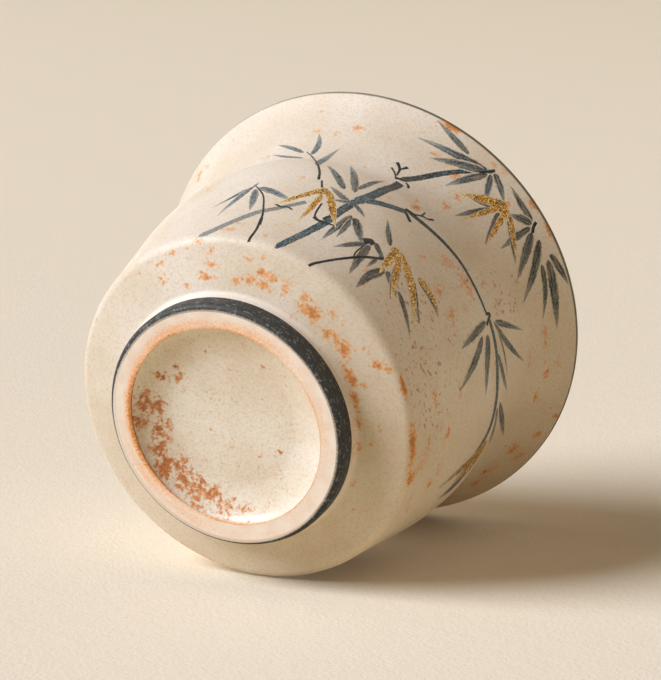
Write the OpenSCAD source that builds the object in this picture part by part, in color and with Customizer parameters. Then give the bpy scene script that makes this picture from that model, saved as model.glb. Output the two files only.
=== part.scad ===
// Small stoneware tea cup with a flared lip, a low belly and a turned foot ring.
// Every piece is a solid of revolution about Z. The foot stands on z = 0 and the mouth faces +Z.

/* [Cup] */
// Overall height, foot face to lip
cup_h = 57; // [48:0.5:70]
// Outer diameter over the lip
rim_d = 80; // [75:0.5:92]
// Outer diameter at the narrow waist under the flare
waist_d = 66.4; // [62:0.2:72]
// Height of the waist above the foot face
waist_z = 40.5; // [38:0.5:46]
// Outer diameter at the widest part of the belly
belly_d = 68; // [65:0.2:73]
// Height of the widest part of the belly above the foot face
belly_z = 33; // [30:0.5:36]
// Outer diameter at the lower edge of the body, before it is rounded
edge_d = 60.2; // [56:0.2:64]
// Length of the rounding at the lower edge, on each side of it
edge_round = 1.3; // [0.8:0.1:3]
// Outward lean of the wall just above the lower edge, in degrees
edge_lean = 8.5; // [2:0.5:12]
// Lean of the flare from upright at the lip, in degrees
flare_lean = 43; // [30:1:55]

/* [Wall] */
// Wall thickness with its glaze, at the belly and the waist
wall_t = 2.8; // [2.2:0.1:4]
// Thickness of the rounded lip with its glaze
lip_t = 1.8; // [1.4:0.1:2.4]
// Thickness of the clay floor over the foot
floor_t = 4; // [3:0.1:6]
// Radius of the inner corner between floor and wall
heel_r = 8; // [5:0.5:11]

/* [Foot] */
// Outer diameter of the foot ring
foot_d = 42.2; // [38:0.2:48]
// Height of the foot, up to the underside of the body
foot_h = 4.4; // [3.6:0.1:6]
// Inner diameter of the bare foot face
face_inner_d = 34.2; // [30:0.2:36]
// Rounding of the outer lower edge of the foot
foot_edge_r = 1.2; // [0.6:0.1:1.6]
// Fillet between the foot and the underside
foot_fillet = 1; // [0.6:0.1:1.4]
// Rise of the underside from foot to lower edge, in degrees
underside_rise = 16; // [8:1:22]
// Radius of the fillet between the wall and the ceiling of the foot well
well_fillet = 2.4; // [1.6:0.1:2.6]
// Height of the bare clay edge inside the foot, under the well glaze
well_edge_h = 0.4; // [0.3:0.1:0.6]

/* [Coats] */
// Thickness of the glaze, inside, outside and in the foot well
glaze_t = 0.35; // [0.25:0.05:0.5]
// Thickness of the dark slip round the foot
slip_t = 0.3; // [0.2:0.05:0.4]

/* [Hidden] */
$fn = 128;

// Steps along each curve of the profile
curve_steps = 14;
// Share of a stretch's height that a curve's handles take
handle = 0.36;

foot_r = foot_d / 2;
face_in_r = face_inner_d / 2;
edge_r = edge_d / 2;
belly_r = belly_d / 2;
waist_r = waist_d / 2;
lip_r = lip_t / 2;

// The foot ring meets the body on a flat seat, where the glaze of the underside starts
seat_z = foot_h - foot_fillet;
floor_z = seat_z + floor_t + glaze_t;

// Unit vector that leans out from upright by an angle
function lean(angle) = [sin(angle), cos(angle)];

// Cubic curve from a to d with handles b and c
function curve(a, b, c, d) = [
    for (i = [0 : curve_steps])
        let (t = i / curve_steps, s = 1 - t)
        s * s * s * a + 3 * s * s * t * b + 3 * s * t * t * c + t * t * t * d
];

// Rounded corner from a to b, tangent to both lines through the corner
function corner(a, tip, b) = curve(a, (a + 2 * tip) / 3, (b + 2 * tip) / 3, b);

// Start of a list, and a list turned round
function upto(list, last) = [for (i = [0 : last]) list[i]];
function turned(list) = [for (i = [len(list) - 1 : -1 : 0]) list[i]];

// Curves joined end to end, each shared point kept once
function chain(curves, i = 0) =
    i == len(curves) - 1 ? curves[i] : concat(upto(curves[i], len(curves[i]) - 2), chain(curves, i + 1));

// Direction of a path at point i, with given directions at its two ends
function heading(path, i, first, last) =
    i == 0 ? first : i == len(path) - 1 ? last : path[i + 1] - path[i - 1];

// Path moved to its left by a distance
function inset(path, distance, first, last) = [
    for (i = [0 : len(path) - 1])
        let (way = heading(path, i, first, last))
        path[i] + distance * [-way[1], way[0]] / norm(way)
];

// Outer surface, from the foot up to the lip
seat_edge = [foot_r, seat_z];
foot_corner = [foot_r, foot_h];
underside_way = [cos(underside_rise), sin(underside_rise)];
edge_corner = foot_corner + underside_way * (edge_r - foot_r) / cos(underside_rise);
underside_in = foot_corner + underside_way * foot_fillet;
underside_out = edge_corner - underside_way * edge_round;
wall_low = edge_corner + lean(edge_lean) * edge_round;
belly = [belly_r, belly_z];
waist = [waist_r, waist_z];
lip_centre = [rim_d / 2 - lip_r, cup_h - lip_r];
lip_normal = [cos(flare_lean), -sin(flare_lean)];
lip_out = lip_centre + lip_normal * lip_r;
lip_in = lip_centre - lip_normal * lip_r;

belly_reach = handle * (belly_z - wall_low[1]);
waist_reach = handle * (waist_z - belly_z);
flare_reach = handle * (lip_out[1] - waist_z);
up = [0, 1];

outer_path = chain([
    corner(seat_edge, foot_corner, underside_in),
    [underside_in, underside_out],
    corner(underside_out, edge_corner, wall_low),
    curve(wall_low, wall_low + lean(edge_lean) * belly_reach, belly - up * belly_reach, belly),
    curve(belly, belly + up * waist_reach, waist - up * waist_reach, waist),
    curve(waist, waist + up * flare_reach, lip_out - lean(flare_lean) * flare_reach, lip_out)
]);

// Half round over the lip
lip_path = [
    for (i = [0 : curve_steps])
        let (angle = -flare_lean + 180 * i / curve_steps)
        lip_centre + lip_r * [cos(angle), sin(angle)]
];

// Inner surface, from the lip down to the middle of the floor
waist_in = [waist_r - wall_t, waist_z];
belly_in = [belly_r - wall_t, belly_z];
heel_top = [edge_r - wall_t, floor_z + heel_r];
heel_end = [heel_top[0] - heel_r, floor_z];
heel_tip = [heel_top[0] - heel_r * tan(edge_lean), floor_z];
heel_reach = handle * (belly_z - heel_top[1]);
inner_path = chain([
    curve(lip_in, lip_in - lean(flare_lean) * flare_reach, waist_in + up * flare_reach, waist_in),
    curve(waist_in, waist_in - up * waist_reach, belly_in + up * waist_reach, belly_in),
    curve(belly_in, belly_in - up * heel_reach, heel_top + lean(edge_lean) * heel_reach, heel_top),
    corner(heel_top, heel_tip, heel_end),
    [heel_end, [0, floor_z]]
]);

// Glazed surface all the way round, and the clay surface one coat beneath it
skin = chain([outer_path, lip_path, inner_path]);
clay = inset(skin, glaze_t, up, [-1, 0]);
lip_first = len(outer_path) - 1;
lip_last = lip_first + len(lip_path) - 1;

// Outside of the slip, from the bare face round the edge of the foot up to the seat, and the clay under it
slip_path = chain([
    corner([foot_r - foot_edge_r, 0], [foot_r, 0], [foot_r, foot_edge_r]),
    [[foot_r, foot_edge_r], seat_edge]
]);
slip_clay = inset(slip_path, slip_t, [1, 0], up);

// Glazed surface of the foot well, from the edge at the foot face to the middle of the ceiling
well_z = seat_z - glaze_t;
// The fillet never takes more than the height between the bare edge and the ceiling
well_round = min(well_fillet, well_z - well_edge_h - glaze_t / 2);
well_path = chain([
    [[face_in_r, well_edge_h], [face_in_r, well_z - well_round]],
    corner([face_in_r, well_z - well_round], [face_in_r, well_z], [face_in_r - well_round, well_z])
]);
// The clay behind the well glaze stops short of the seat, so the foot ring has no feather edge there
well_clay = inset(well_path, -glaze_t, up, [-1, 0]);
well_clay_last = len(well_clay) - 1 - floor(curve_steps / 3);
well_wall = upto(well_clay, well_clay_last);
well_seat = [well_wall[well_clay_last][0], seat_z];

// Solid ring or bowl turned from a profile of [radius, height] points
module turn(profile) {
    rotate_extrude() polygon(profile);
}

// Coat between a stretch of the glazed surface and the clay under it
module coat(first, last) {
    turn(concat([for (i = [first : last]) skin[i]], [for (i = [last : -1 : first]) clay[i]]));
}

// Thrown clay bowl with its thick floor
module cup_body() {
    color("BurlyWood")
    turn(concat(clay, [[0, seat_z]]));
}

// Clay foot ring with a bare face to stand on, a seat for the slip round it and a filleted well
module foot_ring() {
    color("MistyRose")
    turn(concat(
        [[face_in_r, 0], slip_path[0]],
        slip_clay,
        [well_seat],
        turned(well_wall),
        [[face_in_r, well_edge_h]]
    ));
}

// Cream glaze over the underside, the belly and the flare
module outer_glaze() {
    color("AntiqueWhite")
    coat(0, lip_first);
}

// Cream glaze inside the cup
module inner_glaze() {
    color("OldLace")
    coat(lip_last, len(skin) - 1);
}

// Dark line where the glaze thins over the lip
module lip_line() {
    color("SaddleBrown")
    coat(lip_first, lip_last);
}

// Dark slip brushed round the wall of the foot and over its rounded edge
module foot_band() {
    color("DarkSlateGray")
    turn(concat(slip_path, turned(slip_clay)));
}

// Pool of glaze in the well inside the foot ring
module well_glaze() {
    color("Wheat")
    turn(concat(
        well_path,
        [[0, well_z], [0, seat_z], well_seat],
        turned(well_wall)
    ));
}

cup_body();
foot_ring();
outer_glaze();
inner_glaze();
lip_line();
foot_band();
well_glaze();
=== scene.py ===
import math
import random
from functools import partial

import bpy
import numpy as np
from mathutils import Matrix, Vector


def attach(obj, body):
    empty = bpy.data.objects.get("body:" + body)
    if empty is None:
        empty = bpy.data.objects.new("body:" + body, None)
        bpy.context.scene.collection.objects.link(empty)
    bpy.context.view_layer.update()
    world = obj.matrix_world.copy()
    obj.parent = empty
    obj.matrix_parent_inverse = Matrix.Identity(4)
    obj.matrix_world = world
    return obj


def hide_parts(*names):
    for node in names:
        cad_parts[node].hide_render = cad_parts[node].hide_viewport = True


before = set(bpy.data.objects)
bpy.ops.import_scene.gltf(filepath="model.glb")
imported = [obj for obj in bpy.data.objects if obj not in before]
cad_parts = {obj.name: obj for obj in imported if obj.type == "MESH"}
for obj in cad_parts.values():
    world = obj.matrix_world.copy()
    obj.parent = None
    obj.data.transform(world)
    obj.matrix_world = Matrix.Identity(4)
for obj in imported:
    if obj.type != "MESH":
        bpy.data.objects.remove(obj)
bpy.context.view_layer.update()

mm = 0.001  # the frame is in metres, the sizes below are in millimetres


def srgb(code):
    parts = [int(code[i:i + 2], 16) / 255 for i in (1, 3, 5)]
    linear = [c / 12.92 if c <= 0.04045 else ((c + 0.055) / 1.055) ** 2.4 for c in parts]
    return (*linear, 1.0)


def perMm(size):
    return 1 / (size * mm)  # texture scale whose features are about this many millimetres wide


rgba = {"give": 2, "data_type": "RGBA"}  # for a Mix node that mixes colours


# Adds a node, sets its settings, then fills or links its inputs; gives back one output, or the node
def addNode(tree, kind, inputs=None, give=0, **settings):
    node = tree.nodes.new("ShaderNode" + kind)
    for name, value in settings.items():
        setattr(node, name, value)
    for name, value in (inputs or {}).items():
        if isinstance(value, bpy.types.NodeSocket):
            tree.links.new(value, node.inputs[name])
        else:
            node.inputs[name].default_value = srgb(value) if isinstance(value, str) else value
    return node if give is None else node.outputs[give]


# Clears the nodes of a material or world and gives back the call that adds nodes to it
def emptyNodes(owner):
    owner.use_nodes = True
    owner.node_tree.nodes.clear()
    return partial(addNode, owner.node_tree)


def newMaterial(name):
    material = bpy.data.materials.new(name)
    return material, emptyNodes(material)


def addObject(name, data):
    added = bpy.data.objects.new(name, data)
    bpy.context.scene.collection.objects.link(added)
    return added


# Camera, under the foot and rolled, because the photographed cup lies on its side
shot = {"location": (190.2, -160.4, -336.7), "aim": (4.6, -3.4, 31.7), "roll": -49.7, "lens": 137.3}


def makeCamera():
    location = Vector(shot["location"]) * mm
    forward = (Vector(shot["aim"]) * mm - location).normalized()
    levelRight = forward.cross(Vector((0, 0, 1))).normalized()
    levelUp = levelRight.cross(forward)
    roll = math.radians(shot["roll"])
    up = levelUp * math.cos(roll) + levelRight * math.sin(roll)
    right = forward.cross(up)
    lens = bpy.data.cameras.new("shotLens")
    lens.lens = shot["lens"]
    camera = addObject("shotCamera", lens)
    camera.matrix_world = Matrix.Translation(location) @ Matrix((right, up, -forward)).transposed().to_4x4()
    bpy.context.scene.camera = camera
    return right


cameraRight = makeCamera()
print("camera set")

# Profile of the cup, [radius, height] from the foot up over the lip and down inside
cup = {
    "height": 57, "rim": 80, "waist": 66.4, "waistHeight": 40.5, "belly": 68, "bellyHeight": 33,
    "edge": 60.2, "edgeRound": 1.3, "edgeLean": 8.5, "flareLean": 43,
    "wall": 2.8, "lip": 1.8, "floor": 4, "heel": 8,
    "foot": 42.2, "footHeight": 4.4, "faceInner": 34.2, "footEdge": 1.2, "footFillet": 1,
    "undersideRise": 16, "wellFillet": 2.4, "pool": 6.4, "wellEdge": 0.4, "glaze": 0.35, "slip": 0.3,
    "handle": 0.36, "steps": 22,  # pull of a curve's ends and points along it
    "fine": 320, "plain": 192,  # segments round the outer wall and the lip, and round the rest
    "seam": 135, "sharp": 38,  # degrees: where a turned mesh closes, and an edge that stays sharp
}


def lean(degrees):
    return np.array([math.sin(math.radians(degrees)), math.cos(math.radians(degrees))])


def curve(a, b, c, d):
    t = np.linspace(0, 1, cup["steps"] + 1)[:, None]
    s = 1 - t
    return s ** 3 * a + 3 * s * s * t * b + 3 * s * t * t * c + t ** 3 * d


def corner(a, tip, b):
    return curve(a, (a + 2 * tip) / 3, (b + 2 * tip) / 3, b)


def line(a, b, count):
    return a + np.linspace(0, 1, count + 1)[:, None] * (b - a)


def chain(*curves):
    return np.concatenate([c[:-1] for c in curves[:-1]] + [curves[-1]])


def unit(ways):
    return ways / np.maximum(np.linalg.norm(ways, axis=1), 1e-9)[:, None]


# Distance travelled at each point of a path
def travelled(path):
    return np.concatenate([[0], np.cumsum(np.linalg.norm(np.diff(path, axis=0), axis=1))])


# Ring that goes along one path and back along another
def ringOf(there, back):
    return np.concatenate([there, back[::-1]])


# Path moved to its left by a distance, with given directions at its ends
def inset(path, distance, first, last):
    way = unit(np.concatenate([[first], path[2:] - path[:-2], [last]]))
    return path + distance * np.stack([-way[:, 1], way[:, 0]], 1)


up = np.array([0.0, 1.0])
inward = np.array([-1.0, 0.0])
footR = cup["foot"] / 2
faceR = cup["faceInner"] / 2
seatZ = cup["footHeight"] - cup["footFillet"]
floorZ = seatZ + cup["floor"] + cup["glaze"]


def outerPath():
    rise = math.radians(cup["undersideRise"])
    footCorner = np.array([footR, cup["footHeight"]])
    way = np.array([math.cos(rise), math.sin(rise)])
    edgeCorner = footCorner + way * (cup["edge"] / 2 - footR) / math.cos(rise)
    undersideIn = footCorner + way * cup["footFillet"]
    undersideOut = edgeCorner - way * cup["edgeRound"]
    wallLow = edgeCorner + lean(cup["edgeLean"]) * cup["edgeRound"]
    belly = np.array([cup["belly"] / 2, cup["bellyHeight"]])
    waist = np.array([cup["waist"] / 2, cup["waistHeight"]])
    bellyReach = cup["handle"] * (belly[1] - wallLow[1])
    waistReach = cup["handle"] * (waist[1] - belly[1])
    flareReach = cup["handle"] * (lipOut[1] - waist[1])
    return chain(
        corner(np.array([footR, seatZ]), footCorner, undersideIn),
        line(undersideIn, undersideOut, cup["steps"]),
        corner(undersideOut, edgeCorner, wallLow),
        curve(wallLow, wallLow + lean(cup["edgeLean"]) * bellyReach, belly - up * bellyReach, belly),
        curve(belly, belly + up * waistReach, waist - up * waistReach, waist),
        curve(waist, waist + up * flareReach, lipOut - lean(cup["flareLean"]) * flareReach, lipOut),
    )


def innerPath():
    waist = np.array([cup["waist"] / 2 - cup["wall"], cup["waistHeight"]])
    belly = np.array([cup["belly"] / 2 - cup["wall"], cup["bellyHeight"]])
    heelTop = np.array([cup["edge"] / 2 - cup["wall"], floorZ + cup["heel"]])
    heelEnd = np.array([heelTop[0] - cup["heel"], floorZ])
    heelTip = np.array([heelTop[0] - cup["heel"] * math.tan(math.radians(cup["edgeLean"])), floorZ])
    flareReach = cup["handle"] * (lipOut[1] - waist[1])
    waistReach = cup["handle"] * (waist[1] - belly[1])
    heelReach = cup["handle"] * (belly[1] - heelTop[1])
    return chain(
        curve(lipIn, lipIn - lean(cup["flareLean"]) * flareReach, waist + up * flareReach, waist),
        curve(waist, waist - up * waistReach, belly + up * waistReach, belly),
        curve(belly, belly - up * heelReach, heelTop + lean(cup["edgeLean"]) * heelReach, heelTop),
        corner(heelTop, heelTip, heelEnd),
        line(heelEnd, np.array([0.0, floorZ]), cup["steps"]),
    )


lipR = cup["lip"] / 2
lipCentre = np.array([cup["rim"] / 2 - lipR, cup["height"] - lipR])
lipAngles = np.radians(-cup["flareLean"] + np.linspace(0, 180, cup["steps"] + 1))
lipPath = lipCentre + lipR * np.stack([np.cos(lipAngles), np.sin(lipAngles)], 1)
lipOut = lipPath[0]
lipIn = lipPath[-1]
outer = outerPath()
inner = innerPath()
skin = chain(outer, lipPath, inner)
clay = inset(skin, cup["glaze"], up, inward)
lipFirst = len(outer) - 1
lipLast = lipFirst + len(lipPath) - 1

# Distance along the outer surface, zero where the painting starts, just above the lower edge
paintStart = 7.95
outerRun = travelled(outer)
outerRun = outerRun - np.interp(paintStart, outer[:, 1], outerRun)
outerWay = unit(np.gradient(outer, outerRun, axis=0))

# Slight unevenness of a hand-thrown wall, fading out at the foot
thrown = {
    "oval": 0.14, "ovalTurn": 0.6, "lobes": 0.06, "lobesTurn": -1.1, "ripple": 0.03, "pitch": 6.5,
    "from": 6, "fade": 12,
}


def wobble(angle, height):
    fade = np.clip((height - thrown["from"]) / thrown["fade"], 0, 1)
    oval = thrown["oval"] * np.cos(2 * angle + thrown["ovalTurn"])
    lobes = thrown["lobes"] * np.cos(3 * angle + thrown["lobesTurn"])
    ripple = thrown["ripple"] * np.sin(height * 2 * math.pi / thrown["pitch"] + angle)
    return fade * (oval + lobes + ripple)


# Iron in the glaze gathers in blooms: angle and run of the middle, reach in degrees, span in mm, strength
paintTurn = -47  # degrees from the painting's own zero to +X
undersideIron = [
    (-78, -2.4, 2, 0.6, 0.6), (-69, -3.1, 2.5, 0.6, 0.9), (-64, -2.4, 3, 0.8, 0.7), (-70, -6, 2, 1.4, 0.72),
    (-60, -8, 2.5, 0.6, 0.85), (-51, -7, 4, 1, 1), (-48, -5.4, 3, 0.7, 0.9), (-52, -1.3, 4, 0.7, 0.7),
    (-48, -2.8, 2, 0.9, 0.7), (-34, -3.6, 3, 0.7, 1), (-29, -5.1, 4, 0.7, 1), (-23, -5.2, 3, 0.9, 0.95),
    (-33, -7, 4, 1.2, 1), (-38, -7.4, 3, 0.8, 0.85), (-26, -7, 3, 0.8, 0.95), (-18, -6, 3, 2, 0.7),
    (-9, -5.6, 3, 1, 1.05), (-6, -6.9, 6, 1.3, 1.1), (-10, -9.4, 3, 0.6, 0.7), (2, -4.6, 3, 0.8, 0.85),
    (5, -7.4, 3, 1.4, 0.95), (13, -7, 6, 1.2, 1.1), (24, -8.3, 7, 1, 1.1), (34, -9, 6, 1, 1.15),
    (44, -9.5, 4, 0.9, 1.1), (55, -9.6, 4, 0.9, 1.1), (24, -3.6, 2, 1.1, 0.95), (27, -1.8, 1.5, 1, 0.95),
    (30, -6.8, 2, 0.6, 0.8), (47, -6, 2, 0.6, 0.75), (53, -7.6, 2, 0.6, 0.8), (73, -9, 3, 0.6, 0.85),
    (84, -7, 2, 0.6, 0.7),
]
edgeIron = [(33, -0.8, 5, 0.5, 1.35), (53, -0.6, 7, 0.8, 1.5), (65, -0.2, 3.5, 1, 1.35)]
wallIron = [
    (61, 2.2, 4, 0.9, 1), (57, 3.6, 4, 0.7, 0.95), (74, 2.7, 3, 0.8, 0.9), (79, 3.8, 2, 0.8, 0.8),
    (72, 7.4, 3, 0.9, 1), (68, 8.8, 3, 1, 0.95), (56, 9.2, 4, 1, 0.95), (43, 6.2, 4, 0.8, 0.9),
    (52, 6.8, 2, 0.7, 0.8), (45, 13, 3, 0.7, 0.9), (12, 22.8, 2.5, 1.8, 1), (25, 20.8, 2.5, 1, 1),
    (18, 20, 2, 0.7, 0.9), (17, 16.2, 3, 1.4, 0.95), (24, 16.6, 3, 1.4, 0.95), (6.6, 18.3, 1.5, 0.8, 1),
    (20, 24, 5, 2, 0.75), (-5.6, 28, 1.8, 2.2, 1.1), (-7, 31, 1.2, 1, 0.85), (0, 39.3, 2, 0.7, 1),
    (-0.5, 35.4, 2, 1.4, 0.9), (-13, 43.7, 1.5, 0.8, 1.05), (-8, 44, 2, 1, 0.9), (-5, 42.6, 2, 0.7, 0.9),
    (10.4, 46.2, 1.2, 0.6, 1.2), (-14, 49.6, 3.5, 0.8, 1.4), (3, 49.2, 2, 0.8, 0.9),
    (14.5, 49.7, 2.5, 0.7, 1.1), (22, 49.6, 3, 0.7, 1.1), (-36, 42.7, 2.2, 0.8, 1),
    (-48, 41.5, 2.5, 0.7, 0.95), (-41, 41, 2.5, 0.8, 0.7), (-26.6, 32.8, 1.2, 0.9, 0.95),
    (-36.6, 21, 1.2, 1, 0.8), (-44, 1.8, 3, 0.8, 0.95), (-41, 4, 1.8, 0.6, 0.85), (-28.7, 6.8, 2, 0.6, 1),
    (-31.7, 1.6, 1.4, 0.6, 0.9), (-2, 2, 2, 0.7, 0.9), (-0.6, 6.2, 1.3, 0.6, 0.95),
    (1, 3.7, 1.4, 0.6, 0.95), (-66, 20, 3, 2, 0.75), (-61, 35.5, 2.5, 1, 0.75), (48, 43.6, 3, 0.8, 1),
    (59, 44.4, 2, 0.9, 1), (55, 43.7, 1.4, 0.6, 0.85), (66, 43, 3, 0.8, 0.85), (56, 46.3, 1.4, 0.6, 0.85),
    (79.5, 47.5, 1.5, 1, 1.05), (85, 44, 3, 2, 0.8), (73, 49.4, 1.4, 0.8, 1), (52, 39.8, 4, 0.8, 0.75),
    (51.5, 23.6, 1.5, 0.8, 0.9),
]


# Blooms strewn in small groups on the unpainted side and inside
strewn = {
    "group": (1, 5), "scatter": (4, 1.5), "reach": (1.2, 3.2), "span": (0.5, 1.3), "strength": (0.7, 1.05),
}


def strewIron(seed, groups, angles, runs):
    pick = random.Random(seed)
    places = []
    for _ in range(groups):
        angle, run = pick.uniform(*angles), pick.uniform(*runs)
        for _ in range(pick.randint(*strewn["group"])):
            place = [middle + pick.gauss(0, off) for middle, off in zip((angle, run), strewn["scatter"])]
            bloom = [pick.uniform(*strewn[key]) for key in ("reach", "span", "strength")]
            places.append((*place, *bloom))
    return places


farIron = strewIron(seed=7, groups=34, angles=(94, 266), runs=(3, 49))
insideIron = strewIron(seed=8, groups=26, angles=(-180, 180), runs=(12, 54))
outerIron = undersideIron + edgeIron + wallIron + farIron
redLoops = [
    (24, 30.6, 3, 1.8, 1), (26, 34.6, 3, 1.6, 1), (32, 33.4, 3, 3, 1), (35, 37.4, 2.5, 1.6, 0.9),
    (29, 40, 2, 1.5, 0.8), (15, 10, 12, 6, 0.55), (35, 5, 18, 5, 0.65), (18, 25, 6, 3, 0.7),
    (30, 14, 10, 6, 0.4), (-140, 20, 20, 8, 0.5),
]
wellIron = [
    (-127, 15.4, 11, 2, 0.88), (-124, 13.4, 8, 1.5, 0.9), (-136, 16, 8, 1.6, 0.9),
    (-144, 13.7, 11, 1.8, 0.86), (-142, 12.5, 7, 1, 0.88), (-157, 14.6, 11, 2.2, 0.84),
    (-168, 15.8, 9, 1.9, 0.9), (-173, 13.3, 8, 1.7, 0.92), (178, 14.8, 10, 2.5, 0.82),
    (166, 14.8, 9, 2.6, 0.9), (157, 14, 6, 2, 0.8), (146, 14.8, 8, 1.8, 0.66), (132, 15.4, 9, 1.2, 0.58),
    (-103, 14, 4, 1.4, 0.85), (-98, 11.4, 6, 0.8, 0.85), (-90, 12.8, 2.5, 0.5, 1.1),
    (-60, 12.2, 2, 0.5, 1.1), (-166, 11.5, 2, 0.4, 0.95), (-10, 12, 3, 0.5, 0.8), (100, 7.4, 5, 0.5, 0.75),
    (77, 9.5, 4, 0.5, 0.75), (-104, 9.8, 4, 0.5, 0.65),
]
# Orange blush on the bare foot, by radius: a line along the inner edge and paler patches across the face
footFlash = [
    (-135, 17.1, 60, 1.1, 1.35), (-75, 17.1, 30, 0.75, 1.1), (-30, 17.1, 40, 0.65, 1),
    (30, 17.1, 45, 0.45, 0.8), (90, 17.1, 40, 0.3, 0.8), (140, 17.1, 40, 0.3, 0.9), (-70, 18, 45, 1, 0.66),
    (-20, 18, 40, 1.1, 0.6), (40, 18, 35, 1, 0.4), (90, 18.6, 25, 1.2, 0.28), (120, 19.2, 20, 0.9, 0.32),
    (165, 18.8, 25, 1.5, 0.46), (-165, 18.6, 22, 1.4, 0.58),
]


def spread(places, angle, run):
    total = np.zeros(np.broadcast(angle, run).shape)
    for centre, at, reach, span, strength in places:
        turn = (angle - centre - paintTurn + 180) % 360 - 180
        total = np.maximum(total, strength * np.exp(-(turn / reach) ** 2 - ((run - at) / span) ** 2))
    return total


def setAttribute(mesh, name, values):
    kind = "FLOAT" if values.ndim == 1 else "FLOAT_VECTOR"
    field = "value" if values.ndim == 1 else "vector"
    mesh.attributes.new(name, kind, "POINT").data.foreach_set(field, values.astype(np.float32).ravel())


def addMesh(name, points, faces, material, attributes):
    mesh = bpy.data.meshes.new(name)
    mesh.from_pydata((points * mm).tolist(), [], faces)
    for key, values in attributes.items():
        setAttribute(mesh, key, values)
    mesh.materials.append(material)
    mesh.polygons.foreach_set("use_smooth", [True] * len(mesh.polygons))
    mesh.update()
    piece = addObject(name, mesh)
    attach(piece, "root")
    return piece


# Closed ring profile turned about Z; the points that lie on the axis become one vertex each
def turnPiece(name, ring, segments, material, attributes):
    angles = np.linspace(0, 2 * math.pi, segments, endpoint=False) + math.radians(cup["seam"])
    onAxis = ring[:, 0] < 1e-6
    index = np.zeros((segments, len(ring)), int)
    points = []
    values = {key: [] for key in attributes}
    for j, (radius, height) in enumerate(ring):
        ringAngles = angles[:1] if onAxis[j] else angles
        reach = 0 if onAxis[j] else radius + wobble(ringAngles, height)
        index[:, j] = len(points) if onAxis[j] else len(points) + np.arange(segments)
        level = np.full(len(ringAngles), height)
        points.extend(np.stack([reach * np.cos(ringAngles), reach * np.sin(ringAngles), level], 1))
        for key, make in attributes.items():
            values[key].extend(make(np.degrees(ringAngles), j) * np.ones(len(ringAngles)))
    faces = []
    for i in range(segments):
        k = (i + 1) % segments
        for j in range(len(ring)):
            n = (j + 1) % len(ring)
            loop = [index[i, j], index[k, j], index[k, n], index[i, n]]
            loop = [int(v) for v in dict.fromkeys(loop)]
            if len(loop) > 2:
                faces.append(loop)
    values = {key: np.array(v) for key, v in values.items()}
    piece = addMesh(name, np.array(points), faces, material, values)
    piece.data.set_sharp_from_angle(angle=math.radians(cup["sharp"]))
    return piece


# Iron speckled cream glaze, dipped and fired satin: off-white with a sandy skin and a clouded tone,
# orange blooms of merged iron dots where the clay is rich in it, broken red loops, freckles and a few
# dark flecks
creamLook = {
    "pale": "#e2dbd4", "warm": "#d7ccbe", "sand": "#bead98", "cloud": 13, "grain": 0.45,
    "rust": "#de9f5e", "rustCore": "#b06a2a", "bloom": 2.4, "dot": 0.7, "drawn": 1.6,
    "freckle": 3.4, "loop": "#b06a48", "loopSize": 1.6, "speck": 0.95, "fleck": "#5c3a22", "fleckSpacing": 6,
    "vary": 0.7, "lumps": 0.3, "twist": 0.5, "base": 0.19, "clump": 0.55, "pull": 0.43,
    "swell": 2.2, "dry": "#e9e1dd", "dryReach": 2.2, "roughness": (0.42, 0.6), "bump": 0.06, "ior": 1.5,
}


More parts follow.
